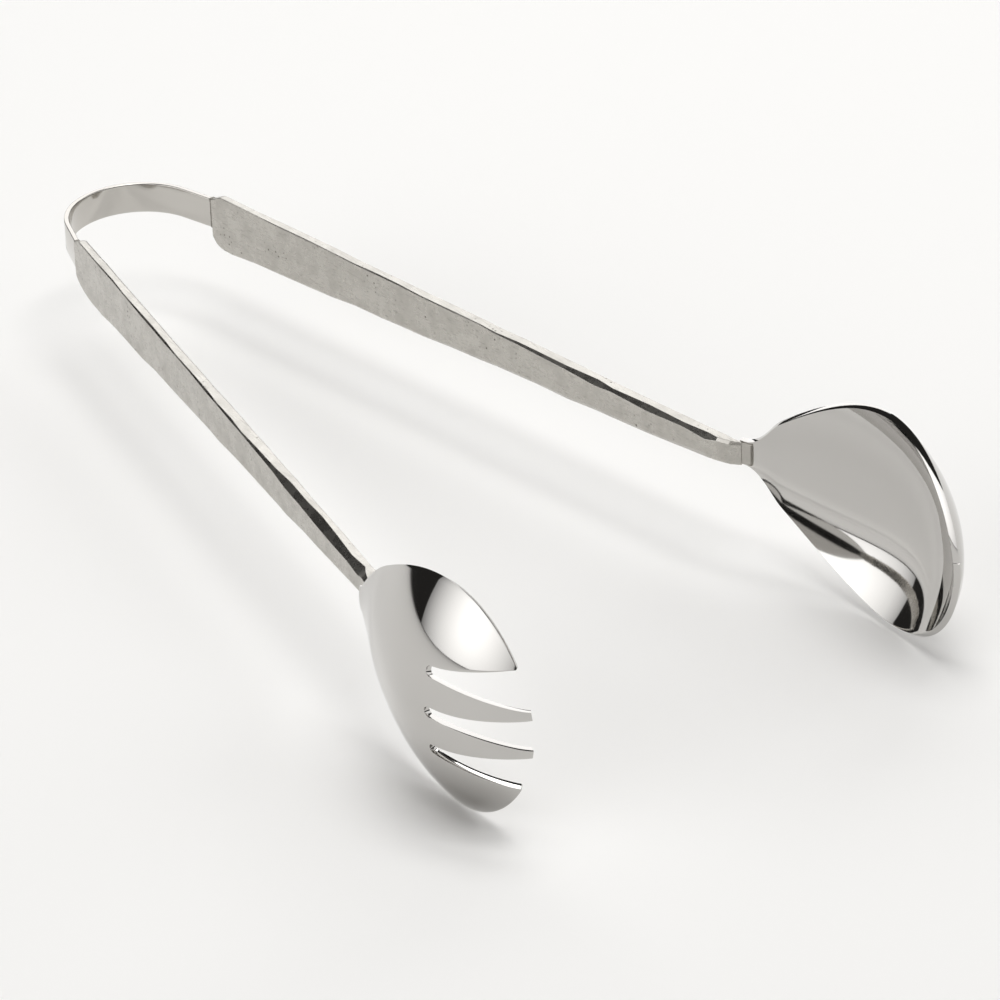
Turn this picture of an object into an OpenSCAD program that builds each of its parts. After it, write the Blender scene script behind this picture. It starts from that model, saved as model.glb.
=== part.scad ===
// Serving tongs: a spoon arm and a slotted fork arm on one bent spring strip.
// X runs from the bow to the heads, the spoon arm is on the +Y side, the fork arm on the -Y side,
// and Z is the direction about which the arms swing. The origin is the centre of the bow's curve.

/* [Bow] */
// Radius of the bow, to the middle of the strip
bow_r = 16.5; // [14:0.5:18]
// Width of the strip
bow_w = 7.5; // [5:0.5:9]
// Thickness of the strip
bow_t = 1.2; // [0.8:0.1:1.6]
// Outward slant of each straight leg of the bow
leg_angle = 17; // [12:1:20]

/* [Handles] */
// Distance between the middles of the two heels
heel_gap = 37; // [36:0.5:40]
// Outward slant of each handle
handle_angle = 9.4; // [6:0.2:12]
// Length of a handle
handle_len = 175; // [140:5:200]
// Height of the heel above the middle of the strip
heel_top = 5.6; // [4.8:0.2:8]
// Depth of the heel below the middle of the strip
heel_bottom = 8.4; // [6:0.2:10]
// Thickness of a handle at its heel
heel_t = 2; // [1.6:0.1:3]
// Height of a handle at its neck
neck_h = 5.6; // [4:0.2:7]
// Thickness of a handle at its neck
neck_t = 3.6; // [2.6:0.1:5]
// Length over which the spoon handle's lower shoulder drops
spoon_shoulder = 4; // [3:1:16]
// Length over which the fork handle's lower shoulder drops
fork_shoulder = 14; // [3:1:16]

/* [Heads] */
// Length of each head from its root to its tip
head_len = 73.5; // [64:0.5:82]
// Greatest width of the spoon
spoon_w = 50.5; // [42:0.5:56]
// Greatest width of the fork
fork_w = 52; // [46:0.5:56]
// Thickness of the sheet
sheet = 1.4; // [1:0.1:2]
// How far the rim bows outward along its length
rim_sag = 5.1; // [3:0.1:6]
// Depth of the hollow below the rim
bowl_depth = 8.8; // [6:0.2:14]
// Inward turn of a head from its handle
head_turn = 6.1; // [3:0.1:9]
// Length of handle that each head laps
lap = 2.5; // [2:0.5:5]

/* [Fork] */
// Length of the slots, measured along the head
slot_len = 19.4; // [14:0.2:24]
// Width of a slot at its round root
slot_root_w = 2.4; // [2:0.1:3]
// Width of the middle slot at the tips of the tines
mid_slot_w = 7.4; // [6:0.2:8]
// Width of the two outer slots at the tips of the tines
side_slot_w = 10; // [8:0.2:11]
// Distance from the middle slot to the root of an outer slot
slot_pitch = 9.1; // [8.8:0.1:10]

/* [Welds] */
// Gap between the end of the strip and a heel, filled by the weld
root_gap = 0.8; // [0.5:0.1:1.2]
// How far a weld stands proud of the strip
weld_proud = 0.3; // [0.2:0.05:0.5]

/* [Hidden] */
$fn = 96;

spoon_side = 1;
fork_side = -1;

// The straight legs leave the bow's curve on a tangent and end at the heels.
leg_y = bow_r * cos(leg_angle);
seat_y = heel_gap / 2;
leg_reach = (seat_y - leg_y) / tan(leg_angle);
seat_x = leg_reach - bow_r * sin(leg_angle);
leg_len = leg_reach / cos(leg_angle) - root_gap / 2;
arc_sweep = 180 - 2 * leg_angle;
// The legs start inside the arc and are a hair thinner, so the two fuse cleanly.
leg_overlap = 0.5;
leg_inset = 0.01;

// Chamfers on the handle's long edges grow towards the neck.
heel_chamfer = 0.3;
neck_chamfer = 1.2;
slice = 0.02;

// The egg outline: a larger lean puts the widest place nearer the tip, a smaller fullness
// makes the ends blunter.
spoon_lean = 1.53;
spoon_full = 0.55;
fork_lean = 1.8;
fork_full = 0.48;
hollow_lean = 1.83;
hollow_full = 0.74;
hollow_power = 2.2;
stations = 30;
ribs = 20;
first_t = 0.02;
last_t = 0.998;
head_out = neck_t / 2 + sheet / 2;

// ---------- places ----------

// Puts a child in an arm's own frame: x along the handle from the heel, y outward, z up.
module on_arm(side) {
    if (side == spoon_side)
        translate([seat_x, seat_y, 0]) rotate([0, 0, handle_angle]) children();
    else
        mirror([0, 1, 0]) translate([seat_x, seat_y, 0]) rotate([0, 0, handle_angle]) children();
}

// Puts a child in a head's own frame: x from its root to its tip, y outward, z up.
module on_head(side) {
    on_arm(side) translate([handle_len - lap, head_out, 0]) rotate([0, 0, -head_turn]) children();
}

// ---------- bow ----------

module spring_bow() {
    color("silver") {
        translate([0, 0, -bow_w / 2]) rotate([0, 0, 90 + leg_angle])
            rotate_extrude(angle = arc_sweep) translate([bow_r - bow_t / 2, 0]) square([bow_t, bow_w]);
        for (side = [spoon_side, fork_side]) bow_leg(side);
    }
}

// One straight leg, from just inside the end of the arc to just short of the heel.
module bow_leg(side) {
    thick = bow_t - 2 * leg_inset;
    wide = bow_w - 2 * leg_inset;
    mirror([0, side == fork_side ? 1 : 0, 0])
        translate([-bow_r * sin(leg_angle), leg_y, 0])
            rotate([0, 0, leg_angle]) translate([-leg_overlap, -thick / 2, -wide / 2])
                cube([leg_len + leg_overlap, thick, wide]);
}

// ---------- handles ----------

// A rectangle with cut corners, as [y, z] points.
function bar_section(t, low, high, cut) = [
    [-t / 2 + cut, low], [t / 2 - cut, low], [t / 2, low + cut], [t / 2, high - cut],
    [t / 2 - cut, high], [-t / 2 + cut, high], [-t / 2, high - cut], [-t / 2, low + cut]];

module bar_slice(x, t, low, high, cut) {
    translate([x, 0, 0]) rotate([90, 0, 90]) linear_extrude(slice)
        polygon(bar_section(t, low, high, cut));
}

// The side view that trims the heel: a short bevel on top and a rounded shoulder below.
function shoulder_point(a, len) = [len * (1 - cos(a)), -bow_w / 2 - (heel_bottom - bow_w / 2) * sin(a)];

function heel_outline(len) = concat(
    [for (a = [0:15:90]) shoulder_point(a, len)],
    [[handle_len, -heel_bottom], [handle_len, heel_top], [4, heel_top], [1, bow_w / 2 + 0.4],
     [0, bow_w / 2]]);

// A forged bar that starts wide and thin at the heel and ends narrow and thick at the neck.
module handle(shoulder) {
    intersection() {
        hull() {
            bar_slice(0, heel_t, -heel_bottom, heel_top, heel_chamfer);
            bar_slice(handle_len - slice, neck_t, -neck_h / 2, neck_h / 2, neck_chamfer);
        }
        translate([root_gap / 2, neck_t, 0]) rotate([90, 0, 0]) linear_extrude(2 * neck_t)
            polygon(heel_outline(shoulder));
    }
}

module spoon_handle() {
    color("lightgray") on_arm(spoon_side) handle(spoon_shoulder);
}

module fork_handle() {
    color("lightgray") on_arm(fork_side) handle(fork_shoulder);
}

// ---------- heads ----------

function arch(t, lean, full) = pow(max(sin(180 * pow(t, lean)), 0.000001), full);
function hollow(t, s) = bowl_depth * arch(t, hollow_lean, hollow_full) * (1 - pow(abs(s), hollow_power));

// A point on the middle of the sheet: t runs from root to tip, s from the lower rim to the upper.
function sheet_point(t, s, w, lean, full) = [
    head_len * t,
    4 * rim_sag * t * (1 - t) + hollow(t, s),
    s * w / 2 * arch(t, lean, full)];

step_t = 0.0005;
step_s = 0.01;
function unit(v) = v / norm(v);
function sheet_normal(t, s, w, lean, full) = unit(cross(
    sheet_point(t + step_t, s, w, lean, full) - sheet_point(t - step_t, s, w, lean, full),
    sheet_point(t, s - step_s, w, lean, full) - sheet_point(t, s + step_s, w, lean, full)));

// Stations crowd together towards the root and the tip, where the outline turns fastest.
function station_t(i) = first_t + (last_t - first_t) * (1 - cos(180 * i / stations)) / 2;
function rib_s(j) = sin(90 * (2 * j / ribs - 1));

function skin(side, w, lean, full) = [
    for (i = [0:stations]) for (j = [0:ribs])
        sheet_point(station_t(i), rib_s(j), w, lean, full)
            + side * sheet / 2 * sheet_normal(station_t(i), rib_s(j), w, lean, full)];

// A pressed head: an outer and an inner skin joined all round the edge.
module pressed_head(w, lean, full) {
    row = ribs + 1;
    inner = (stations + 1) * row;
    points = concat(skin(1, w, lean, full), skin(-1, w, lean, full));
    skins = [
        for (i = [0:stations - 1]) for (j = [0:ribs - 1]) let (a = i * row + j)
            each [[a, a + 1, a + row + 1], [a, a + row + 1, a + row],
                  [inner + a, inner + a + row + 1, inner + a + 1],
                  [inner + a, inner + a + row, inner + a + row + 1]]];
    side_walls = [
        for (i = [0:stations - 1]) let (a = i * row, b = i * row + ribs)
            each [[a, a + row, inner + a + row], [a, inner + a + row, inner + a],
                  [b, inner + b, inner + b + row], [b, inner + b + row, b + row]]];
    end_walls = [
        for (j = [0:ribs - 1]) let (a = j, b = stations * row + j)
            each [[a, inner + a, inner + a + 1], [a, inner + a + 1, a + 1],
                  [b, b + 1, inner + b + 1], [b, inner + b + 1, inner + b]]];
    polyhedron(points, concat(skins, side_walls, end_walls), convexity = 6);
}

module spoon_bowl() {
    color("gainsboro") on_head(spoon_side) pressed_head(spoon_w, spoon_lean, spoon_full);
}

// One slot, narrow and round at its root and flared towards the tips of the tines.
slot_x = head_len - slot_len + slot_root_w / 2;
slot_steps = 8;
module slot(middle_z, drift, end_w, flare) {
    span = head_len + 2 - slot_x;
    half = slot_root_w / 2;
    edge = [for (i = [0:slot_steps]) let (f = i / slot_steps)
        [slot_x + span * f, middle_z + drift * f, half + (end_w / 2 - half) * pow(f, flare)]];
    translate([0, head_len, 0]) rotate([90, 0, 0]) linear_extrude(2 * head_len) {
        polygon(concat(
            [for (p = edge) [p[0], p[1] + p[2]]],
            [for (i = [slot_steps:-1:0]) [edge[i][0], edge[i][1] - edge[i][2]]]));
        translate([slot_x, middle_z]) circle(half, $fn = 32);
    }
}

module fork_bowl() {
    color("gainsboro") on_head(fork_side) difference() {
        pressed_head(fork_w, fork_lean, fork_full);
        slot(0, 0, mid_slot_w, 1.8);
        slot(slot_pitch, 1, side_slot_w, 1.4);
        slot(-slot_pitch, -1, side_slot_w, 1.4);
    }
}

// ---------- welds ----------

// A bead between the strip's slanted end and the heel's flat one.
weld_turn = leg_angle - handle_angle;
weld_clear = 0.01;
function strip_end(y) = -(root_gap / 2 + y * sin(weld_turn)) / cos(weld_turn) + weld_clear;
module bow_weld(side) {
    half = bow_t / 2 + weld_proud;
    height = bow_w + 2 * weld_proud;
    on_arm(side) translate([0, 0, -height / 2]) linear_extrude(height)
        polygon([[strip_end(-half), -half], [root_gap / 2, -half], [root_gap / 2, half],
                 [strip_end(half), half]]);
}

module bow_spoon_weld() {
    color("dimgray") bow_weld(spoon_side);
}

module bow_fork_weld() {
    color("dimgray") bow_weld(fork_side);
}

// A fillet that fills the corner between the handle's end and the inner face of the head.
fillet = 1.8;
fusion = 0.15;
module neck_weld(side) {
    on_arm(side) translate([handle_len, neck_t / 2, -neck_h / 2 + fusion])
        linear_extrude(neck_h - 2 * fusion)
            polygon([[-fusion, -fillet], [-fusion, 2 * fusion], [fillet, 3 * fusion]]);
}

module spoon_neck_weld() {
    color("dimgray") neck_weld(spoon_side);
}

module fork_neck_weld() {
    color("dimgray") neck_weld(fork_side);
}

spring_bow();
spoon_handle();
fork_handle();
spoon_bowl();
fork_bowl();
bow_spoon_weld();
bow_fork_weld();
spoon_neck_weld();
fork_neck_weld();
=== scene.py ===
"""Serving tongs in polished and forged stainless steel, on a plain pale stage."""

import math
import random

import bpy
from bpy.props import FloatProperty, FloatVectorProperty, PointerProperty, StringProperty
from mathutils import Matrix, Vector


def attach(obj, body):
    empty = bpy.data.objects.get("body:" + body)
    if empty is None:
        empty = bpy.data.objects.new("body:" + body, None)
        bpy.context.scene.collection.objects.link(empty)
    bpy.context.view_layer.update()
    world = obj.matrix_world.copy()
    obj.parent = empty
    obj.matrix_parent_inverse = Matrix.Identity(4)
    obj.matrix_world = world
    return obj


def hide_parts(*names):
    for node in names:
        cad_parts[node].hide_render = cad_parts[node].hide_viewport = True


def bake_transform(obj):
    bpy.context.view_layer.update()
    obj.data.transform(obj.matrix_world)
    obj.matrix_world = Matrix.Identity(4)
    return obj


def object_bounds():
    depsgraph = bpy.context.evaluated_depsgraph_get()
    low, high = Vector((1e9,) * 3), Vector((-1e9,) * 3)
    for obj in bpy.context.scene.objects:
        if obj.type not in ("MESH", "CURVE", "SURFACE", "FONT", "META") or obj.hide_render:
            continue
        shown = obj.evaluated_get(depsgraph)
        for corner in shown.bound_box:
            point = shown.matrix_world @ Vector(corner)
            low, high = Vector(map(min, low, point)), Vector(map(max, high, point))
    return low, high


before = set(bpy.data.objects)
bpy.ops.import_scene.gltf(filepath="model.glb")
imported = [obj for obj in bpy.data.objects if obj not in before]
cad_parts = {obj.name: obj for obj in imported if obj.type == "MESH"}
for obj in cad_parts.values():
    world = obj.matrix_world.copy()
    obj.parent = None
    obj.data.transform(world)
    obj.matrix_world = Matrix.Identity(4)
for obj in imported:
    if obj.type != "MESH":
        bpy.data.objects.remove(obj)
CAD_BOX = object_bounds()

bl_info = {
    "name": "Serving Tongs",
    "version": (1, 0, 0),
    "blender": (4, 5, 0),
    "location": "3D View > Sidebar > Tongs",
    "description": "Builds forged serving tongs with a spoon head and a fork head",
    "category": "Add Mesh",
}

MM = 0.001
SPOON, FORK = 1, -1
# The floor lies just clear of the lowest edge.
FLOOR_Z = CAD_BOX[0].z - 0.3 * MM
# How much further than the nominal handle length each bar runs under its head's root.
REACH = {SPOON: 0.0, FORK: 4.5 * MM}


# ---------- what a user may change ----------

def length(name, about, millimetres):
    """A length property, given in millimetres and kept in metres."""
    return FloatProperty(name=name, description=about, default=millimetres * MM, unit="LENGTH",
                         precision=5)


def angle(name, about, degrees):
    """An angle property, given in degrees and kept in radians."""
    return FloatProperty(name=name, description=about, default=math.radians(degrees),
                         unit="ROTATION")


def finish_colour(name, about, hex_code):
    """A colour property, an sRGB hex code with its leading #."""
    return StringProperty(name=name, description=about, default=hex_code, maxlen=7)


class TongsShape(bpy.types.PropertyGroup):
    """Sizes of the tongs."""
    bow_radius: length("Bow radius", "Radius of the bow, to the middle of the strip", 16.5)
    strip_width: length("Strip width", "Width of the spring strip", 7.5)
    strip_thickness: length("Strip thickness", "Thickness of the spring strip", 1.2)
    leg_angle: angle("Leg angle", "Outward slant of the bow's straight legs", 17)
    heel_gap: length("Heel gap", "Distance between the middles of the heels", 37)
    handle_angle: angle("Handle angle", "Outward slant of each handle", 9.4)
    handle_length: length("Handle length", "Length of a handle", 175)
    heel_thickness: length("Heel thickness", "Thickness of a handle at its heel", 2.0)
    neck_thickness: length("Neck thickness", "Thickness of a handle at its neck", 3.6)
    heel_top: length("Heel top", "Height of the heel above the strip's middle", 5.6)
    heel_depth: length("Heel depth", "Depth of the heel below the strip's middle", 8.4)
    neck_height: length("Neck height", "Height of a handle at its neck", 5.6)
    root_gap: length("Root gap", "Gap between strip and heel, filled by the weld", 0.8)
    head_length: length("Head length", "Length of each head", 73.5)
    spoon_width: length("Spoon width", "Greatest width of the spoon", 50.5)
    fork_width: length("Fork width", "Greatest width of the fork", 52.0)
    sheet: length("Sheet", "Thickness of the heads' sheet", 1.4)
    rim_sag: length("Rim sag", "How far the rim bows outward", 5.1)
    bowl_depth: length("Bowl depth", "Depth of the hollow below the rim", 8.8)
    head_turn: angle("Head turn", "Inward turn of a head from its handle", 6.1)
    lap: length("Lap", "Length of handle that each head laps", 2.5)
    slot_length: length("Slot length", "Length of the fork's slots", 20.8)
    slot_root: length("Slot root", "Width of a slot at its round root", 2.4)
    slot_pitch: length("Slot pitch", "Distance from the middle slot to an outer slot", 9.1)
    mid_slot: length("Middle slot", "Width of the middle slot at the tips", 8.0)
    side_slot: length("Outer slots", "Width of the outer slots at the tips", 10.8)


class TongsFinish(bpy.types.PropertyGroup):
    """Colours of the metal and the stage, as sRGB hex codes."""
    polished: finish_colour("Polished steel", "Colour of the mirror-polished heads", "#C4C2BF")
    strip: finish_colour("Polished strip", "Colour of the polished bow", "#C2BFBA")
    forged: finish_colour("Forged steel", "Colour of the satin forged handles", "#BFBCB6")
    stained: finish_colour("Worn patches", "Colour of the duller patches on the handles", "#B2AFA9")
    pitted: finish_colour("Pits", "Colour inside the pits and scratches", "#5E5A54")
    bead: finish_colour("Weld bead", "Colour of the weld beads", "#A29E97")
    floor: finish_colour("Floor", "Colour of the floor", "#F4F3F1")


class TongsStage(bpy.types.PropertyGroup):
    """Where the camera stands."""
    azimuth: angle("Azimuth", "Camera's turn about the tongs", 57.52)
    elevation: angle("Elevation", "Camera's height above the horizon", 28.97)
    roll: angle("Roll", "Camera's turn about its own axis", -2.24)
    distance: length("Distance", "Camera's distance from its target", 1292)
    lens: FloatProperty(name="Lens", description="Focal length in millimetres", default=216.0)
    target: FloatVectorProperty(name="Target", description="What the camera looks at",
                                default=(0.1620, -0.0049, 0.0), unit="LENGTH")


# ---------- small helpers ----------

def linear(hex_code):
    """An sRGB hex code as a linear colour with full alpha."""
    channels = [int(hex_code[i:i + 2], 16) / 255 for i in (1, 3, 5)]
    return [c / 12.92 if c <= 0.04045 else ((c + 0.055) / 1.055) ** 2.4 for c in channels] + [1.0]


def shape_of(context):
    return context.scene.tongs_shape


def finish_of(context):
    return context.scene.tongs_finish


def start_clean():
    """Back to object mode with nothing selected."""
    if bpy.context.mode != "OBJECT":
        bpy.ops.object.mode_set(mode="OBJECT")
    bpy.ops.object.select_all(action="DESELECT")


def pick(piece, kind, wanted):
    """Selects the piece's faces, edges or vertices for which wanted is true, then opens edit mode."""
    bpy.ops.object.mode_set(mode="OBJECT")
    mesh = piece.data
    for group in (mesh.polygons, mesh.edges, mesh.vertices):
        group.foreach_set("select", [False] * len(group))
    for item in getattr(mesh, kind):
        item.select = wanted(item)
    modes = {"vertices": (True, False, False), "edges": (False, True, False),
             "polygons": (False, False, True)}
    bpy.context.tool_settings.mesh_select_mode = modes[kind]
    bpy.ops.object.mode_set(mode="EDIT")


def apply_modifier(piece, kind, **settings):
    """Adds one modifier with those settings and applies it to the mesh."""
    modifier = piece.modifiers.new(kind.title(), kind)
    for key, value in settings.items():
        setattr(modifier, key, value)
    bpy.context.view_layer.objects.active = piece
    bpy.ops.object.modifier_apply(modifier=modifier.name)


def put_in_place(piece, matrix):
    """Moves the mesh itself, so that the object stays at the origin, unturned and unscaled."""
    piece.data.transform(matrix)
    piece.matrix_world = Matrix.Identity(4)
    if matrix.to_3x3().determinant() < 0:
        piece.data.flip_normals()


def close_up(piece):
    """Merges doubles and turns every face outward."""
    pick(piece, "vertices", lambda v: True)
    bpy.ops.mesh.remove_doubles(threshold=0.002 * MM)
    bpy.ops.mesh.normals_make_consistent(inside=False)
    bpy.ops.object.mode_set(mode="OBJECT")


def smooth(piece, degrees):
    """Shades the piece smooth, apart from edges sharper than that."""
    start_clean()
    piece.select_set(True)
    bpy.context.view_layer.objects.active = piece
    bpy.ops.object.shade_smooth_by_angle(angle=math.radians(degrees))
    piece.select_set(False)


def hand_over(piece, name, material, nodes, body=None, bend=None):
    """Names a finished piece and gives it its material; when bend is given its place is baked into its
    mesh, otherwise it is tied to its body.
    """
    if not piece.data.polygons:
        raise RuntimeError(f"{name} has no faces")
    piece.name = name
    piece.data.name = name
    piece.data.materials.clear()
    piece.data.materials.append(material)
    if bend:
        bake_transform(piece)
    else:
        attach(piece, body)
    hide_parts(*nodes)


def arm_name(side):
    """The word that an arm's pieces, nodes and body start with."""
    return "spoon" if side == SPOON else "fork"


def arm_matrix(shape, side):
    """From an arm's own frame (x along the handle, y outward, z up) to the tongs' frame."""
    leg_y = shape.bow_radius * math.cos(shape.leg_angle)
    seat_y = shape.heel_gap / 2
    reach = (seat_y - leg_y) / math.tan(shape.leg_angle)
    seat_x = reach - shape.bow_radius * math.sin(shape.leg_angle)
    mirror = Matrix.Scale(side, 4, (0, 1, 0))
    slant = Matrix.Rotation(shape.handle_angle, 4, "Z")
    return mirror @ Matrix.Translation((seat_x, seat_y, 0)) @ slant


def head_matrix(shape, side):
    """From a head's own frame (x from root to tip, y outward, z up) to the tongs' frame."""
    out = shape.neck_thickness / 2 + shape.sheet / 2
    shift = Matrix.Translation((shape.handle_length - shape.lap, out, 0))
    return arm_matrix(shape, side) @ shift @ Matrix.Rotation(-shape.head_turn, 4, "Z")


# ---------- materials ----------

def add_node(tree, kind, settings=None, links=None):
    """Adds one node, sets its attributes and unlinked sockets, and links the rest."""
    node = tree.nodes.new(kind)
    for key, value in (settings or {}).items():
        if isinstance(key, str) and hasattr(node, key):
            setattr(node, key, value)
        else:
            node.inputs[key].default_value = value
    for key, source in (links or {}).items():
        tree.links.new(source, node.inputs[key])
    return node


def new_material(name):
    """An empty material, its node tree and the Object coordinates that its patterns follow."""
    material = bpy.data.materials.new(name)
    material.use_nodes = True
    material.node_tree.nodes.clear()
    tree = material.node_tree
    return material, tree, add_node(tree, "ShaderNodeTexCoord").outputs["Object"]


def finish_material(tree, settings, links):
    """Adds the shader, with the sockets given as numbers and the ones that patterns drive."""
    shader = add_node(tree, "ShaderNodeBsdfPrincipled", settings, links)
    add_node(tree, "ShaderNodeOutputMaterial", {}, {"Surface": shader.outputs["BSDF"]})


def per_mm(size):
    """Texture scale that repeats about once in size millimetres."""
    return 1 / (size * MM)


# A colour mix's inputs are its share and its two colours, and its output is the mixed colour.
MIX_SHARE, MIX_FIRST, MIX_SECOND = 0, 6, 7
MIX_COLOUR = 2


def mirror_polished_stainless(name, hex_code, roughest):
    """18/10 stainless buffed with rouge: it mirrors the room, with a little haze and no grain."""
    material, tree, here = new_material(name)
    # Buffing haze drifts over about 14 mm.
    haze = add_node(tree, "ShaderNodeTexNoise", {"Scale": per_mm(14), "Detail": 2.0}, {"Vector": here})
    rough = add_node(tree, "ShaderNodeMapRange", {"From Min": 0.35, "From Max": 0.65,
                                                  "To Min": roughest * 0.5, "To Max": roughest},
                     {"Value": haze.outputs["Fac"]})
    # The pressed sheet is never quite flat: waves about 18 mm long.
    wave = add_node(tree, "ShaderNodeTexNoise", {"Scale": per_mm(18), "Detail": 0.0}, {"Vector": here})
    bump = add_node(tree, "ShaderNodeBump", {"Strength": 0.12, "Distance": 0.25 * MM},
                    {"Height": wave.outputs["Fac"]})
    finish_material(tree, {"Base Color": linear(hex_code), "Metallic": 1.0},
                    {"Roughness": rough.outputs["Result"], "Normal": bump.outputs["Normal"]})
    return material


def satin_forged_stainless(finish):
    """Hammered stainless rubbed with fine abrasive: satin flats, dull patches, pits and scratches."""
    material, tree, here = new_material("satin_forged_stainless")
    # Dull patches left between the hammer marks, 5 mm across and speckled down to 0.2 mm.
    patch = add_node(tree, "ShaderNodeTexNoise", {"Scale": per_mm(5), "Detail": 5.0, "Roughness": 0.72},
                     {"Vector": here})
    worn = add_node(tree, "ShaderNodeMapRange", {"From Min": 0.40, "From Max": 0.66},
                    {"Value": patch.outputs["Fac"]})
    rough = add_node(tree, "ShaderNodeMapRange", {"From Min": 0.36, "From Max": 0.70,
                                                  "To Min": 0.23, "To Max": 0.35},
                     {"Value": patch.outputs["Fac"]})
    # Scratches from rubbing, about 0.3 mm apart and 5 mm long, nearly along the handle.
    # The turn only takes the pattern off the noise's own axes.
    scratch_at = add_node(tree, "ShaderNodeMapping", {"Rotation": [0, math.radians(24), 0],
                                                      "Scale": (0.06, 1.0, 1.0)}, {"Vector": here})
    scratch = add_node(tree, "ShaderNodeTexNoise", {"Scale": per_mm(0.32), "Detail": 3.0},
                       {"Vector": scratch_at.outputs["Vector"]})
    lines = add_node(tree, "ShaderNodeMapRange", {"From Min": 0.56, "From Max": 0.72},
                     {"Value": scratch.outputs["Fac"]})
    # They are fainter than the pits.
    faint = add_node(tree, "ShaderNodeMath", {"operation": "MULTIPLY", 1: 0.30},
                     {0: lines.outputs["Result"]})
    # Pits of scale hammered into the surface, about 0.5 mm across, in loose clusters.
    cells = add_node(tree, "ShaderNodeTexVoronoi", {"Scale": per_mm(1.3), "Randomness": 1.0},
                     {"Vector": here})
    dots = add_node(tree, "ShaderNodeMapRange", {"From Min": 0.26, "From Max": 0.10},
                    {"Value": cells.outputs["Distance"]})
    cluster = add_node(tree, "ShaderNodeTexNoise", {"Scale": per_mm(7), "Detail": 2.0}, {"Vector": here})
    crowd = add_node(tree, "ShaderNodeMapRange", {"From Min": 0.54, "From Max": 0.66},
                     {"Value": cluster.outputs["Fac"]})
    pits = add_node(tree, "ShaderNodeMath", {"operation": "MULTIPLY"},
                    {0: dots.outputs["Result"], 1: crowd.outputs["Result"]})
    marks = add_node(tree, "ShaderNodeMath", {"operation": "MAXIMUM"},
                     {0: pits.outputs["Value"], 1: faint.outputs["Value"]})
    tone = add_node(tree, "ShaderNodeMix", {"data_type": "RGBA", MIX_FIRST: linear(finish.forged),
                                            MIX_SECOND: linear(finish.stained)},
                    {MIX_SHARE: worn.outputs["Result"]})
    dirty = add_node(tree, "ShaderNodeMix", {"data_type": "RGBA", MIX_SECOND: linear(finish.pitted)},
                     {MIX_SHARE: marks.outputs["Value"], MIX_FIRST: tone.outputs[MIX_COLOUR]})
    # Grain of the abrasive, drawn 0.7 mm apart, much coarser than it is, so that it shows.
    grain = add_node(tree, "ShaderNodeTexNoise", {"Scale": per_mm(0.7), "Detail": 4.0}, {"Vector": here})
    relief = add_node(tree, "ShaderNodeMath", {"operation": "SUBTRACT"},
                      {0: grain.outputs["Fac"], 1: marks.outputs["Value"]})
    fine = add_node(tree, "ShaderNodeBump", {"Strength": 0.30, "Distance": 0.05 * MM},
                    {"Height": relief.outputs["Value"]})
    finish_material(tree, {"Metallic": 1.0},
                    {"Base Color": dirty.outputs[MIX_COLOUR], "Roughness": rough.outputs["Result"],
                     "Normal": fine.outputs["Normal"]})
    return material


def weld_metal(name, dark_hex, light_hex, relief):
    """Stainless weld bead: dull and heat-darkened as it cooled, or bright where it has been dressed."""
    material, tree, here = new_material(name)
    # Pores and ripples about 0.8 mm apart.
    pores = add_node(tree, "ShaderNodeTexNoise", {"Scale": per_mm(0.8), "Detail": 4.0}, {"Vector": here})
    bump = add_node(tree, "ShaderNodeBump", {"Strength": relief, "Distance": 0.1 * MM},
                    {"Height": pores.outputs["Fac"]})
    rough = add_node(tree, "ShaderNodeMapRange", {"From Min": 0.35, "From Max": 0.65,
                                                  "To Min": 0.32, "To Max": 0.60},
                     {"Value": pores.outputs["Fac"]})
    shade = add_node(tree, "ShaderNodeMix", {"data_type": "RGBA", MIX_FIRST: linear(dark_hex),
                                             MIX_SECOND: linear(light_hex)},
                     {MIX_SHARE: pores.outputs["Fac"]})
    finish_material(tree, {"Metallic": 1.0},
                    {"Base Color": shade.outputs[MIX_COLOUR], "Roughness": rough.outputs["Result"],
                     "Normal": bump.outputs["Normal"]})
    return material


def matt_white_board(finish):
    """Matt painted board for the floor: it only lights the steel from below."""
    material, tree, here = new_material("matt_white_board")
    # Roller stipple about 3 mm across.
    stipple = add_node(tree, "ShaderNodeTexNoise", {"Scale": per_mm(3), "Detail": 2.0}, {"Vector": here})
    rough = add_node(tree, "ShaderNodeMapRange", {"From Min": 0.3, "From Max": 0.7,
                                                  "To Min": 0.8, "To Max": 0.9},
                     {"Value": stipple.outputs["Fac"]})
    finish_material(tree, {"Base Color": linear(finish.floor)}, {"Roughness": rough.outputs["Result"]})
    return material


def kept_material(name, make):
    """The material of that name, made once."""
    return bpy.data.materials.get(name) or make()


# ---------- the bow ----------

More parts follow.
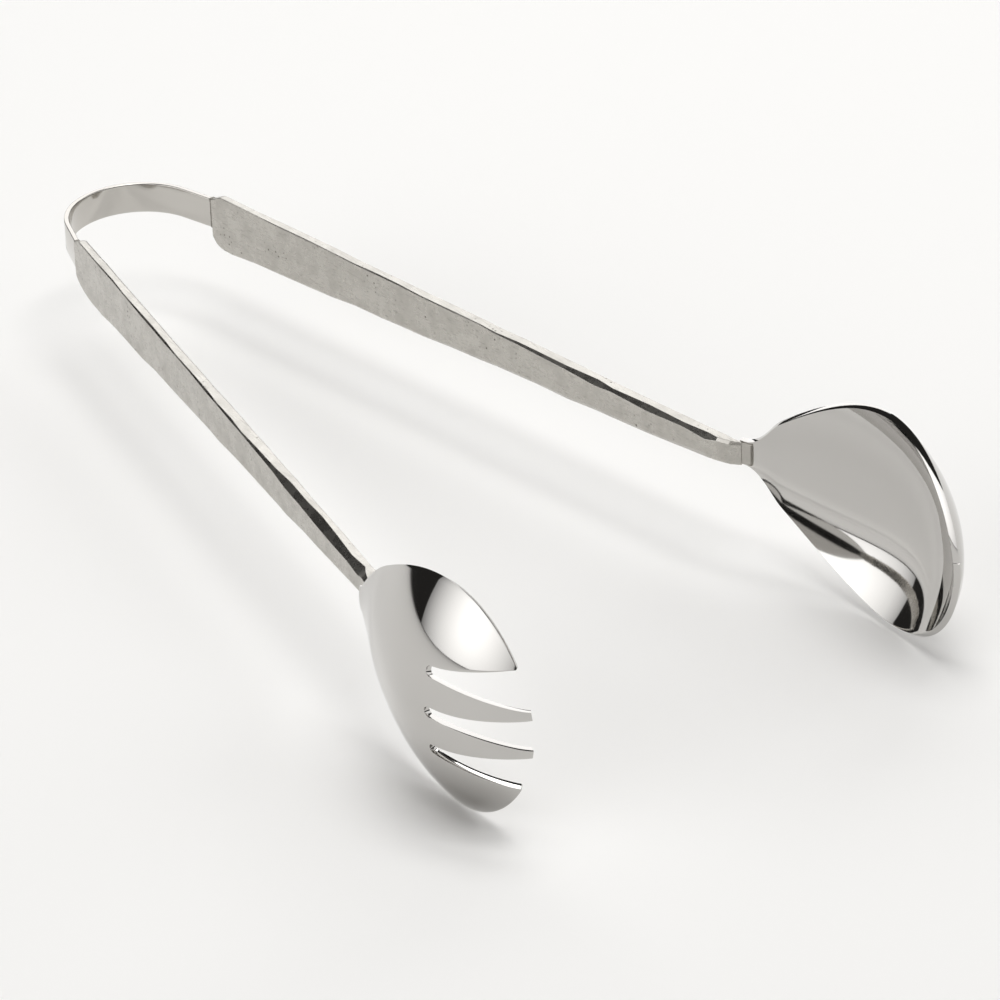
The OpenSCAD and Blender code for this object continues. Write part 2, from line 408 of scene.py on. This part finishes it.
class TONGS_OT_bow(bpy.types.Operator):
    """Spring strip of the bow, in two halves that meet at the crown"""
    bl_idname = "tongs.bow"
    bl_label = "Bow"

    ARC_STEPS = 48
    LEG_STEPS = 8
    EDGE_ROUND = 0.28 * MM
    SHADE_ANGLE = 35

    def execute(self, context):
        shape, finish = shape_of(context), finish_of(context)
        steel = kept_material("polished_spring_strip", lambda: mirror_polished_stainless(
            "polished_spring_strip", finish.strip, 0.16))
        for side in (SPOON, FORK):
            self.half(shape, side, steel)
        return {"FINISHED"}

    def half(self, shape, side, steel):
        """The strip's section, spun round to one leg and drawn out along it."""
        start_clean()
        bpy.ops.mesh.primitive_plane_add(size=1, location=(-shape.bow_radius, 0, 0),
                                         rotation=(math.pi / 2, 0, 0))
        strip = bpy.context.object
        strip.scale = (shape.strip_thickness, shape.strip_width, 1)
        bpy.ops.object.transform_apply(location=True, rotation=True, scale=True)
        pick(strip, "vertices", lambda v: True)
        bpy.ops.mesh.bevel(offset=self.EDGE_ROUND, segments=3, affect="VERTICES")
        # Spin the section from the crown round to where the straight leg starts.
        sweep = math.pi / 2 - shape.leg_angle
        pick(strip, "polygons", lambda f: True)
        bpy.ops.mesh.spin(steps=self.ARC_STEPS, angle=side * sweep, center=(0, 0, 0), axis=(0, 0, 1))
        bpy.ops.object.mode_set(mode="OBJECT")
        leg_way = Vector((math.cos(shape.leg_angle), side * math.sin(shape.leg_angle), 0))
        leg_y = shape.bow_radius * math.cos(shape.leg_angle)
        leg = (shape.heel_gap / 2 - leg_y) / math.sin(shape.leg_angle) - shape.root_gap / 2
        last = max(f.center.dot(leg_way) for f in strip.data.polygons)
        pick(strip, "polygons", lambda f: f.center.dot(leg_way) > last - 1e-6)
        for _ in range(self.LEG_STEPS):
            bpy.ops.mesh.extrude_region_move(
                TRANSFORM_OT_translate={"value": leg_way * (leg / self.LEG_STEPS)})
        bpy.ops.object.mode_set(mode="OBJECT")
        close_up(strip)
        smooth(strip, self.SHADE_ANGLE)
        junction = arm_matrix(shape, side).to_translation()
        name = f"bow_{arm_name(side)}_half"
        hand_over(strip, name, steel, ["spring_bow"],
                  bend=("bow", f"{arm_name(side)}_arm", (-shape.bow_radius, 0, 0), junction))


# ---------- the handles ----------

class TONGS_OT_handles(bpy.types.Operator):
    """Forged handles, lofted through one section for each hammer blow"""
    bl_idname = "tongs.handles"
    bl_label = "Handles"

    # Distance between hammer blows, and how far they push the surface about.
    BLOW = 8.5 * MM
    WANDER = 0.18 * MM
    # Seeds of the hammer blows.
    SEEDS = {SPOON: 11, FORK: 29}
    # Length of the heel's rounded lower shoulder, and the steps that the sections take round it.
    SHOULDERS = {SPOON: 4 * MM, FORK: 14 * MM}
    SHOULDER_STEPS = 7
    # Length over which the heel's top rises from the strip, and its gentler rise over the first 1 mm.
    TOP_RISE, TOP_STEP = 4 * MM, 0.4 * MM
    # Length at the neck over which the bar is ground down to the sheet or bent out to meet it.
    RUN_OUT = 8 * MM
    # What is left of the ground bar at its end, and how far the other one is bent out.
    FEATHER, BEND_OUT = 0.35 * MM, 0.9 * MM
    # How much the lower edge of the spoon's heel swells, where, and how far to either side.
    SWELLING, SWELLS_AT, SWELLS_OVER = 0.45 * MM, 8 * MM, 6 * MM
    # The fork's neck is deeper below, and its upper facet wider.
    NECK_DEEPER = {SPOON: 0.0, FORK: 0.5 * MM}
    FACET_WIDER = {SPOON: 1.0, FORK: 1.2}
    # Burnish of the long edges, and the sharpness from which an edge gets it.
    BURNISH, BURNISH_ANGLE = 0.16 * MM, math.radians(12)
    SHADE_ANGLE = 7

    def execute(self, context):
        shape, finish = shape_of(context), finish_of(context)
        steel = kept_material("satin_forged_stainless", lambda: satin_forged_stainless(finish))
        for side in (SPOON, FORK):
            self.handle(shape, side, steel)
        return {"FINISHED"}

    def stations(self, shape, side, dice):
        """Places of the sections along the handle: dense round the heel, then one per blow."""
        first = shape.root_gap / 2
        shoulder = self.SHOULDERS[side]
        heel = [first + (shoulder - first) * (1 - math.cos(math.pi / 2 * i / self.SHOULDER_STEPS))
                for i in range(self.SHOULDER_STEPS + 1)]
        places = sorted(set(heel + [MM, self.TOP_RISE]))
        x = places[-1] + 3 * MM
        run_out = shape.handle_length + REACH[side] - self.RUN_OUT
        while x < run_out - self.BLOW * 0.5:
            places.append(x)
            x += self.BLOW * dice.uniform(0.6, 1.35)
        return places + [run_out + self.RUN_OUT * share for share in (0, 0.35, 0.7, 1)]

    def lower_edge(self, shape, side, x, share):
        """Where the bar's lower edge runs: round the shoulder, then rising to the neck."""
        half_strip = shape.strip_width / 2
        shoulder = self.SHOULDERS[side]
        neck_low = shape.neck_height / 2 + self.NECK_DEEPER[side]
        low = -(shape.heel_depth + (neck_low - shape.heel_depth) * share)
        if x < shoulder:
            turn = math.sqrt(max(0.0, 1 - (1 - x / shoulder) ** 2))
            return -half_strip + (low + half_strip) * turn
        if side == SPOON:
            low -= self.SWELLING * max(0.0, 1 - abs(x - self.SWELLS_AT) / self.SWELLS_OVER)
        return low

    def upper_edge(self, shape, x, share):
        """Where the bar's upper edge runs: up from the strip in two slopes, then straight to the neck."""
        half_strip = shape.strip_width / 2
        corner = half_strip + self.TOP_STEP
        if x < MM:
            return half_strip + self.TOP_STEP * x / MM
        if x < self.TOP_RISE:
            return corner + (shape.heel_top - corner) * (x - MM) / (self.TOP_RISE - MM)
        return shape.heel_top + (shape.neck_height / 2 - shape.heel_top) * share

    def facet(self, side, share, free, dice):
        """Width of the facet along the upper edge that shows most: it widens towards the neck."""
        full = min(1.0, max(0.0, (share - 0.54) / 0.34))
        full = full * full * (3 - 2 * full) * (1 if share < 0.96 else 0.55)
        # In millimetres: the plain edge and its growth, then the facet's own width and the blows'.
        width = (0.10 + 0.16 * min(1.0, share / 0.4) + 0.80 * full * dice.uniform(0.40, 1.60)
                 + 0.10 * free * dice.uniform(-1, 1)) * MM
        return width * self.FACET_WIDER[side]

    def section(self, shape, side, x, dice):
        """Eight corners of the bar at x, as (y, z), from the inner top edge round to the outer one."""
        long = shape.handle_length + REACH[side]
        share = x / long
        low = self.lower_edge(shape, side, x, share)
        high = self.upper_edge(shape, x, share)
        half = (shape.heel_thickness + (shape.neck_thickness - shape.heel_thickness) * share) / 2
        # The ends aren't hammered.
        free = 1.0 if 0.08 < share < 0.99 else 0.0
        drop = self.facet(side, share, free, dice)
        near_top = (1.2 * drop, drop)
        far_top = (0.45 * MM - 0.25 * MM * share, 0.30 * MM)
        under = (0.28 * MM + 0.5 * MM * share * dice.uniform(0.7, 1.3),
                 0.35 * MM + 0.9 * MM * share * dice.uniform(0.7, 1.3))
        low += self.WANDER * free * dice.uniform(-1.4, 1.4)
        high += self.WANDER * free * dice.uniform(-0.7, 0.7)
        half += self.WANDER * 0.5 * free * dice.uniform(-1, 1)
        ground = min(1.0, max(0.0, (x - long + self.RUN_OUT) / self.RUN_OUT))
        lift = 0.0
        if side == FORK:
            # This bar isn't ground: its end is bent out to meet the sheet.
            lift, ground = self.BEND_OUT * ground * ground, 0.0
        inner = -half + (2 * half - self.FEATHER) * ground ** 1.5
        inner_top, outer_top = (near_top, far_top) if side == SPOON else (far_top, near_top)
        shrink = 1 - 0.92 * ground
        ring = [(inner + inner_top[0] * shrink, high), (inner, high - inner_top[1]),
                (inner, low + under[1]), (inner + under[0] * shrink, low),
                (half - under[0] * shrink, low), (half, low + under[1]),
                (half, high - outer_top[1]), (half - outer_top[0] * shrink, high)]
        return [(y + lift, z) for y, z in ring]

    def handle(self, shape, side, steel):
        """One bar: its rings of eight corners are bridged, closed at both ends and burnished."""
        dice = random.Random(self.SEEDS[side])
        start_clean()
        places = self.stations(shape, side, dice)
        rings = [(x, self.section(shape, side, x, dice)) for x in places]
        bpy.ops.mesh.primitive_circle_add(vertices=8, radius=MM)
        bar = bpy.context.object
        bpy.ops.object.mode_set(mode="EDIT")
        for _ in rings[1:]:
            bpy.ops.mesh.primitive_circle_add(vertices=8, radius=MM)
        bpy.ops.object.mode_set(mode="OBJECT")
        for index, (x, corners) in enumerate(rings):
            for corner, (y, z) in enumerate(corners):
                bar.data.vertices[8 * index + corner].co = (x, y, z)
        pick(bar, "edges", lambda e: True)
        bpy.ops.mesh.bridge_edge_loops()
        bpy.ops.object.mode_set(mode="OBJECT")
        for end in (places[0], places[-1]):
            pick(bar, "vertices", lambda v: abs(v.co.x - end) < 1e-7)
            bpy.ops.mesh.edge_face_add()
        bpy.ops.object.mode_set(mode="OBJECT")
        close_up(bar)
        put_in_place(bar, arm_matrix(shape, side))
        close_up(bar)
        apply_modifier(bar, "BEVEL", width=self.BURNISH, segments=2, limit_method="ANGLE",
                       angle_limit=self.BURNISH_ANGLE)
        smooth(bar, self.SHADE_ANGLE)
        name = arm_name(side)
        hand_over(bar, f"{name}_handle_bar", steel, [f"{name}_handle"],
                  body=f"{name}_arm")


# ---------- the heads ----------

class HeadForm:
    """The pressed form of one head: its outline and the depth of its hollow, in the head's own frame."""

    # Lean moves the widest or deepest place towards the tip, and a smaller full makes the curve blunter.
    LEANS = {SPOON: 1.53, FORK: 1.8}
    FULLS = {SPOON: 0.55, FORK: 0.48}
    HOLLOW_LEAN, HOLLOW_FULL = 1.83, 0.74
    # How flat the hollow is across its middle.
    HOLLOW_POWER = 2.2
    # Where the sheet starts and ends, as shares of the pressed form's length.
    FIRSTS = {SPOON: 0.02, FORK: 0.082}
    LAST = 0.9995
    # Distance over which the sheet spreads from the handle's end with a hollow curve.
    NECKS = {SPOON: 12 * MM, FORK: 24 * MM}
    # How far the fork's root is set back, and over what length it rounds off.
    SET_BACK, BLUNT_OVER = 5 * MM, 1.2 * MM
    # Share of the full depth that the hollow has at the handle's end.
    SHALLOW = 0.35

    def __init__(self, shape, side):
        self.shape = shape
        self.length = shape.head_length
        self.half_width = (shape.spoon_width if side == SPOON else shape.fork_width) / 2
        self.lean, self.full, self.neck = self.LEANS[side], self.FULLS[side], self.NECKS[side]
        self.first, self.side = self.FIRSTS[side], side

    @staticmethod
    def arch(t, lean, full):
        """A leaning arch over t from 0 to 1, as high as 1."""
        return max(math.sin(math.pi * min(max(t, 0.0), 1.0) ** lean), 1e-6) ** full

    def outline(self, x):
        """Half width of the head at x."""
        # Just wider than the handle's end.
        start = self.shape.neck_height / 2 + 0.1 * MM
        spread = self.spread(x)
        if self.side == FORK:
            # A blunt, round root that sits back from the end of the pressed form.
            x -= self.SET_BACK * (1 - spread)
            blunt = start * math.sqrt(min(1.0, max(0.0, x) / self.BLUNT_OVER))
            wide = self.half_width * self.arch(min(x / self.length, self.LAST), self.lean, self.full)
            return max(blunt, wide)
        t = min(max(x / self.length, self.first), self.LAST)
        wide = self.half_width * self.arch(t, self.lean, self.full)
        return max(start, wide) * spread + start * (1 - spread)

    def spread(self, x):
        """0 at the handle's end, 1 where the sheet has its full pressed width."""
        share = min(1.0, max(0.0, x / self.neck))
        return share * share * (3 - 2 * share)

    def tip_x(self, z):
        """Where the outline near the tip has that half width."""
        ratio = min(abs(z) / self.half_width, 1.0)
        t = (1 - math.asin(ratio ** (1 / self.full)) / math.pi) ** (1 / self.lean)
        return self.length * min(t, self.LAST)

    def point(self, x, z):
        """The point of the sheet's middle surface at x and z."""
        t = x / self.length
        across = min(abs(z) / self.outline(x), 1.0)
        hollow = self.shape.bowl_depth * self.arch(t, self.HOLLOW_LEAN, self.HOLLOW_FULL)
        hollow *= self.SHALLOW + (1 - self.SHALLOW) * self.spread(x)
        sag = 4 * self.shape.rim_sag * t * (1 - t)
        return Vector((x, sag + hollow * (1 - across ** self.HOLLOW_POWER), z))


def eased(share):
    """A share from 0 to 1 that starts and stops gently."""
    return (1 - math.cos(math.pi * share)) / 2


class TONGS_OT_spoon_bowl(bpy.types.Operator):
    """Spoon head, pressed from a flat blank"""
    bl_idname = "tongs.spoon_bowl"
    bl_label = "Spoon Bowl"

    ROWS, COLUMNS = 110, 56
    # Where along the head the blank starts to fan out, as a share of its length.
    WIDEST = 0.6

    def execute(self, context):
        shape, finish = shape_of(context), finish_of(context)
        form = HeadForm(shape, SPOON)
        start_clean()
        bpy.ops.mesh.primitive_grid_add(x_subdivisions=self.ROWS, y_subdivisions=self.COLUMNS, size=2)
        blank = bpy.context.object
        for vertex in blank.data.vertices:
            x, across = self.spread_out(form, vertex.co.x, vertex.co.y)
            vertex.co = form.point(x, across * form.outline(x))
        finish_head(context, blank, SPOON, "spoon_bowl_pressing")
        return {"FINISHED"}

    def spread_out(self, form, row, column):
        """Where a vertex of the blank goes, as x and a share of the half width: fanned round the tip."""
        first, last = form.length * form.first, form.length * form.LAST
        middle = form.length * self.WIDEST
        square = math.sin(math.pi / 2 * column)
        if row <= 0:
            # Rows lie closer together at the neck.
            share = 1 + row
            near = share * (0.35 + 0.65 * share)
            return first + (middle - first) * near, square
        fan_x = row * math.sqrt(1 - column * column / 2)
        fan_y = column * math.sqrt(1 - row * row / 2)
        reach = math.sqrt(max(1 - fan_x * fan_x, 1e-12))
        fanned = min(max(fan_y / reach, -1.0), 1.0)
        mix = min(1.0, 2 * row)
        return middle + (last - middle) * fan_x, fanned * mix + square * (1 - mix)


class TONGS_OT_fork_bowl(bpy.types.Operator):
    """Fork head, pressed from a flat blank that has been slit three times"""
    bl_idname = "tongs.fork_bowl"
    bl_label = "Fork Bowl"

    # Rows before the slots, round their roots and along the tines.
    BACK, ROOT, TINE = 70, 8, 44
    # Columns in an outer tine and in a middle one.
    WIDE, NARROW = 18, 10
    # The middle tines, counted from the lowest.
    MIDDLE_TINES = (1, 2)
    # Width left at the end of an outer tine.
    BLUNT = 0.35 * MM
    # How far the outer slots drift outward towards the tips, and how late the slots widen.
    DRIFT = 1 * MM
    SIDE_FLARE, MID_FLARE = 1.4, 1.8
    # How far past the tip the slots would have their full width.
    PAST_TIP = 2 * MM

    def execute(self, context):
        shape = shape_of(context)
        form = HeadForm(shape, FORK)
        self.form, self.shape = form, shape
        # Radius and centre of the slots' round roots, and the length over which the slots widen.
        self.root_r = shape.slot_root / 2
        self.slot_x = form.length - shape.slot_length + self.root_r
        self.span = form.length + self.PAST_TIP - self.slot_x
        columns = 2 * (self.WIDE + self.NARROW)
        rows = self.BACK + self.ROOT + self.TINE
        slits = [self.WIDE, self.WIDE + self.NARROW, columns - self.WIDE]
        marks = [0, *slits, columns]
        start_clean()
        bpy.ops.mesh.primitive_grid_add(x_subdivisions=rows, y_subdivisions=columns, size=2)
        blank = bpy.context.object
        cell = 2 / columns

        def on_slit(edge):
            a, b = (blank.data.vertices[i].co for i in edge.vertices)
            same = abs(a.y - b.y) < cell / 4
            beyond = min(a.x, b.x) > 2 * self.BACK / rows - 1 - 0.5 / rows
            return same and beyond and round((a.y + 1) / cell) in slits

        pick(blank, "edges", on_slit)
        bpy.ops.mesh.edge_split(type="EDGE")
        bpy.ops.object.mode_set(mode="OBJECT")
        # Which tine each vertex belongs to comes from the faces beside it.
        middle = {}
        for face in blank.data.polygons:
            for index in face.vertices:
                middle.setdefault(index, []).append(face.center.y)
        outer_end = self.outer_end()
        placed = []
        for vertex in blank.data.vertices:
            row = round((vertex.co.x + 1) / 2 * rows)
            column = round((vertex.co.y + 1) / cell)
            beside = sum(middle[vertex.index]) / len(middle[vertex.index])
            tine = sum(beside > slit * cell - 1 for slit in slits)
            placed.append(self.place(row, column, tine, marks, outer_end))
        for vertex, point in zip(blank.data.vertices, placed):
            vertex.co = point
        finish_head(context, blank, FORK, "fork_bowl_pressing")
        return {"FINISHED"}

    def slot_edges(self, x, middle, drift, end_width, flare):
        """Lower and upper edge of a slot at x."""
        if x <= self.slot_x:
            half = math.sqrt(max(0.0, self.root_r ** 2 - (self.slot_x - x) ** 2))
            return middle - half, middle + half
        share = min((x - self.slot_x) / self.span, 1.0)
        half = self.root_r + (end_width / 2 - self.root_r) * share ** flare
        return middle + drift * share - half, middle + drift * share + half

    def borders(self, x):
        """Edges of the four tines at x, from the lowest up."""
        shape, out = self.shape, self.form.outline(x)
        lower = self.slot_edges(x, -shape.slot_pitch, -self.DRIFT, shape.side_slot, self.SIDE_FLARE)
        centre = self.slot_edges(x, 0, 0, shape.mid_slot, self.MID_FLARE)
        upper = self.slot_edges(x, shape.slot_pitch, self.DRIFT, shape.side_slot, self.SIDE_FLARE)
        return [-out, *lower, *centre, *upper, out]

    def outer_end(self):
        """Where an outer tine runs out between its slot and the outline."""
        low, high = self.slot_x, self.form.length * self.form.LAST
        for _ in range(40):
            half = (low + high) / 2
            edges = self.borders(half)
            if edges[7] - edges[6] > self.BLUNT:
                low = half
            else:
                high = half
        return low

    def in_tine(self, x, tine, share):
        """Height at x of the place that lies that share of the way across a tine, from its lower edge."""
        low, high = self.borders(x)[2 * tine:2 * tine + 2]
        return low + (high - low) * share

    def behind_slots(self, row, column, tine, marks, share):
        """Where a vertex of the sheet behind the slots goes."""
        form = self.form
        root_x = self.slot_x - self.root_r
        first = form.length * form.first
        x = first + (root_x - first) * eased(row / self.BACK)
        root_out = form.outline(root_x)
        at_root = [-root_out, -self.shape.slot_pitch, 0, self.shape.slot_pitch, root_out]
        z = at_root[tine] + (at_root[tine + 1] - at_root[tine]) * share
        # Even columns near the root of the head turn into the tines' own further out.
        even = math.sin(math.pi / 2 * (2 * column / marks[-1] - 1))
        mix = eased(min(1.0, x / root_x))
        return form.point(x, ((1 - mix) * even + mix * z / root_out) * form.outline(x))

    def place(self, row, column, tine, marks, outer_end):
        """Where a vertex of the flat blank goes; marks are the columns at which the tines start and end."""
        form = self.form
        share = (column - marks[tine]) / (marks[tine + 1] - marks[tine])
        if row <= self.BACK:
            return self.behind_slots(row, column, tine, marks, share)
        if row <= self.BACK + self.ROOT:
            turn = math.pi / 2 * (row - self.BACK) / self.ROOT
            x = self.slot_x - self.root_r * math.cos(turn)
            return form.point(x, self.in_tine(x, tine, share))
        along = math.sin(math.pi / 2 * (row - self.BACK - self.ROOT) / self.TINE)
        end = outer_end
        if tine in self.MIDDLE_TINES:
            # A middle tine ends on the head's outline, which is closed in on step by step.
            end = form.length * 0.99
            for _ in range(7):
                end = form.tip_x(self.in_tine(end, tine, share))
        x = self.slot_x + (end - self.slot_x) * along
        return form.point(x, self.in_tine(x, tine, share))


# Rounding of the heads' rims, the sharpness from which an edge gets it, and where shading breaks.
RIM_ROUND, RIM_ANGLE, HEAD_SHADE_ANGLE = 0.32 * MM, math.radians(50), 40


def finish_head(context, sheet, side, name):
    """Thickens the pressed sheet, rounds its rim and puts it on its arm."""
    shape, finish = shape_of(context), finish_of(context)
    steel = kept_material("mirror_polished_stainless", lambda: mirror_polished_stainless(
        "mirror_polished_stainless", finish.polished, 0.07))
    put_in_place(sheet, head_matrix(shape, side))
    apply_modifier(sheet, "SOLIDIFY", thickness=shape.sheet, offset=0.0, use_even_offset=True)
    apply_modifier(sheet, "BEVEL", width=RIM_ROUND, segments=3, limit_method="ANGLE",
                   angle_limit=RIM_ANGLE)
    smooth(sheet, HEAD_SHADE_ANGLE)
    arm = arm_name(side)
    hand_over(sheet, name, steel, [f"{arm}_bowl"], body=f"{arm}_arm")


# ---------- the welds ----------

class TONGS_OT_welds(bpy.types.Operator):
    """Weld beads at both ends of each handle"""
    bl_idname = "tongs.welds"
    bl_label = "Welds"

    # How far the beads at the bow stand proud of the strip, and how far they run into their neighbours.
    PROUD, OVERLAP = 0.14 * MM, 0.3 * MM
    # Length and thickness of a neck bead, how far its middle lies past the bar's end, and its slope.
    NECK_LONG, NECK_THICK, NECK_PAST, NECK_LEAN = 2.8 * MM, 1.3 * MM, 0.9 * MM, 1.2 * MM
    # How far out from the bar's outer face a neck bead sits, and how much lower than the bar it is.
    NECK_OUT = {SPOON: 0.25 * MM, FORK: 1.15 * MM}
    NECK_LOWER = 0.6 * MM
    # Size and height of the ripples, as welded and as dressed.
    RIPPLE_SIZE, ROUGH_RIPPLE, DRESSED_RIPPLE = 0.9 * MM, 0.22 * MM, 0.06 * MM

    def execute(self, context):
        shape, finish = shape_of(context), finish_of(context)
        bead = kept_material("stainless_weld_bead", lambda: weld_metal(
            "stainless_weld_bead", finish.pitted, finish.bead, 0.6))
        dressed = kept_material("dressed_weld_bead", lambda: weld_metal(
            "dressed_weld_bead", finish.stained, finish.forged, 0.15))
        ripple = bpy.data.textures.new("bead_ripple", "CLOUDS")
        ripple.noise_scale = self.RIPPLE_SIZE
        for side in (SPOON, FORK):
            arm = arm_name(side)
            strip_size = (shape.root_gap + self.OVERLAP, shape.strip_thickness + 2 * self.PROUD,
                          shape.strip_width + 2 * self.PROUD)
            bow_weld = self.bead(strip_size, (0, 0, 0), ripple, self.ROUGH_RIPPLE)
            put_in_place(bow_weld, arm_matrix(shape, side))
            hand_over(bow_weld, f"bow_{arm}_bead", bead, [f"bow_{arm}_weld"], body=f"{arm}_arm")
            neck_size = (self.NECK_LONG, self.NECK_THICK, shape.neck_height - self.NECK_LOWER)
            out = shape.neck_thickness / 2 + self.NECK_OUT[side]
            place = (shape.handle_length + REACH[side] + self.NECK_PAST, out, 0)
            neck_weld = self.bead(neck_size, place, ripple, self.DRESSED_RIPPLE, self.NECK_LEAN)
            put_in_place(neck_weld, arm_matrix(shape, side))
            hand_over(neck_weld, f"{arm}_neck_bead", dressed, [f"{arm}_neck_weld"],
                      body=f"{arm}_arm")
        return {"FINISHED"}

    def bead(self, size, place, ripple, strength, lean=0.0):
        """A rounded block of that size, rippled as a bead cools; lean slopes its inner face outward."""
        start_clean()
        bpy.ops.mesh.primitive_cube_add(size=1)
        block = bpy.context.object
        block.scale = size
        block.location = place
        bpy.ops.object.transform_apply(location=True, rotation=True, scale=True)
        pick(block, "polygons", lambda f: True)
        bpy.ops.mesh.subdivide(number_cuts=3)
        bpy.ops.object.mode_set(mode="OBJECT")
        for vertex in block.data.vertices:
            inward = place[1] - vertex.co.y
            if inward > 0:
                along = (vertex.co.x - place[0]) / size[0] + 0.5
                vertex.co.y += lean * along * inward / (size[1] / 2)
        apply_modifier(block, "BEVEL", width=min(size) * 0.3, segments=3, limit_method="ANGLE",
                       angle_limit=math.radians(50))
        apply_modifier(block, "SUBSURF", levels=1, render_levels=1)
        apply_modifier(block, "DISPLACE", texture=ripple, strength=strength, mid_level=0.5)
        close_up(block)
        smooth(block, 60)
        return block


# ---------- the stage ----------

class TONGS_OT_stage(bpy.types.Operator):
    """Floor, soft lights and the camera"""
    bl_idname = "tongs.stage"
    bl_label = "Stage"

    FLOOR_RADIUS = 2.2
    # Each softbox: azimuth and elevation in degrees seen from the tongs, distance, width, height in
    # metres, power in watts and spread in degrees. Azimuth 0 is +X and turns towards +Y.
    SOFTBOXES = {
        "backdrop": (146, 31, 1.30, 1.60, 1.10, 9.5, 180),
        "side_softbox": (-95.5, 21.5, 1.15, 2.10, 0.88, 3.9, 104),
        "far_side": (55, 36, 1.40, 1.40, 0.90, 4.5, 180),
        "overhead": (20, 84, 1.30, 0.90, 0.90, 10.5, 180),
    }
    # Colour of the dark room that the steel mirrors between the lights.
    ROOM = "#2B2A29"

    def execute(self, context):
        self.floor(context)
        for name, facts in self.SOFTBOXES.items():
            self.softbox(name, *facts)
        world = bpy.data.worlds.new("dark_room")
        world.use_nodes = True
        world.node_tree.nodes["Background"].inputs["Color"].default_value = linear(self.ROOM)
        context.scene.world = world
        context.scene.view_settings.view_transform = "Standard"
        self.camera(context)
        return {"FINISHED"}

    def centre(self):
        """The place on the floor under the middle of the tongs."""
        middle = (CAD_BOX[0] + CAD_BOX[1]) / 2
        return Vector((middle.x, middle.y, FLOOR_Z))

    def floor(self, context):
        """A round board with an inset edge."""
        start_clean()
        bpy.ops.mesh.primitive_circle_add(vertices=96, radius=self.FLOOR_RADIUS, fill_type="NGON",
                                          location=self.centre())
        board = bpy.context.object
        bpy.ops.object.transform_apply(location=True, rotation=True, scale=True)
        pick(board, "polygons", lambda f: True)
        bpy.ops.mesh.inset(thickness=0.05)
        bpy.ops.object.mode_set(mode="OBJECT")
        board.name = "floor"
        board.data.materials.append(matt_white_board(finish_of(context)))

    def softbox(self, name, azimuth, elevation, distance, width, height, power, spread):
        """A rectangular light that faces the tongs."""
        light = bpy.data.lights.new(name, "AREA")
        light.shape = "RECTANGLE"
        light.size, light.size_y, light.energy = width, height, power
        light.spread = math.radians(spread)
        lamp = bpy.data.objects.new(name, light)
        bpy.context.scene.collection.objects.link(lamp)
        a, e = math.radians(azimuth), math.radians(elevation)
        way = Vector((math.cos(a) * math.cos(e), math.sin(a) * math.cos(e), math.sin(e)))
        lamp.location = self.centre() + way * distance
        lamp.rotation_euler = way.to_track_quat("Z", "Y").to_euler()

    def camera(self, context):
        """A long lens on the target; azimuth 0 looks along +Y."""
        stage = context.scene.tongs_stage
        a, e, roll = stage.azimuth, stage.elevation, stage.roll
        back = Vector((math.sin(a) * math.cos(e), -math.cos(a) * math.cos(e), math.sin(e)))
        right = Vector((math.cos(a), math.sin(a), 0))
        up = back.cross(right)
        across = math.cos(roll) * right + math.sin(roll) * up
        upward = math.cos(roll) * up - math.sin(roll) * right
        lens = bpy.data.cameras.new("camera")
        lens.lens, lens.sensor_width = stage.lens, 36.0
        lens.clip_start, lens.clip_end = 0.01, 20.0
        camera = bpy.data.objects.new("camera", lens)
        context.scene.collection.objects.link(camera)
        turn = Matrix((across, upward, back)).transposed().to_4x4()
        camera.matrix_world = Matrix.Translation(Vector(stage.target) + back * stage.distance) @ turn
        context.scene.camera = camera


# ---------- panel and registration ----------

OPERATORS = (TONGS_OT_stage, TONGS_OT_bow, TONGS_OT_handles, TONGS_OT_spoon_bowl, TONGS_OT_fork_bowl,
             TONGS_OT_welds)


class TONGS_PT_panel(bpy.types.Panel):
    """Lists the pieces of the tongs"""
    bl_idname = "TONGS_PT_panel"
    bl_label = "Serving Tongs"
    bl_space_type = "VIEW_3D"
    bl_region_type = "UI"
    bl_category = "Tongs"

    def draw(self, context):
        for group in (context.scene.tongs_shape, context.scene.tongs_finish, context.scene.tongs_stage):
            box = self.layout.box()
            for name in group.__annotations__:
                box.prop(group, name)
        for operator in OPERATORS:
            self.layout.operator(operator.bl_idname)


GROUPS = {"tongs_shape": TongsShape, "tongs_finish": TongsFinish, "tongs_stage": TongsStage}


def register():
    for cls in (*GROUPS.values(), *OPERATORS, TONGS_PT_panel):
        bpy.utils.register_class(cls)
    for name, group in GROUPS.items():
        setattr(bpy.types.Scene, name, PointerProperty(type=group))


def unregister():
    for name in GROUPS:
        delattr(bpy.types.Scene, name)
    for cls in (TONGS_PT_panel, *reversed(OPERATORS), *GROUPS.values()):
        bpy.utils.unregister_class(cls)


def main():
    register()
    bpy.ops.tongs.stage()
    bpy.ops.tongs.bow()
    bpy.ops.tongs.handles()
    bpy.ops.tongs.spoon_bowl()
    bpy.ops.tongs.fork_bowl()
    bpy.ops.tongs.welds()


if __name__ == "__main__":
    main()
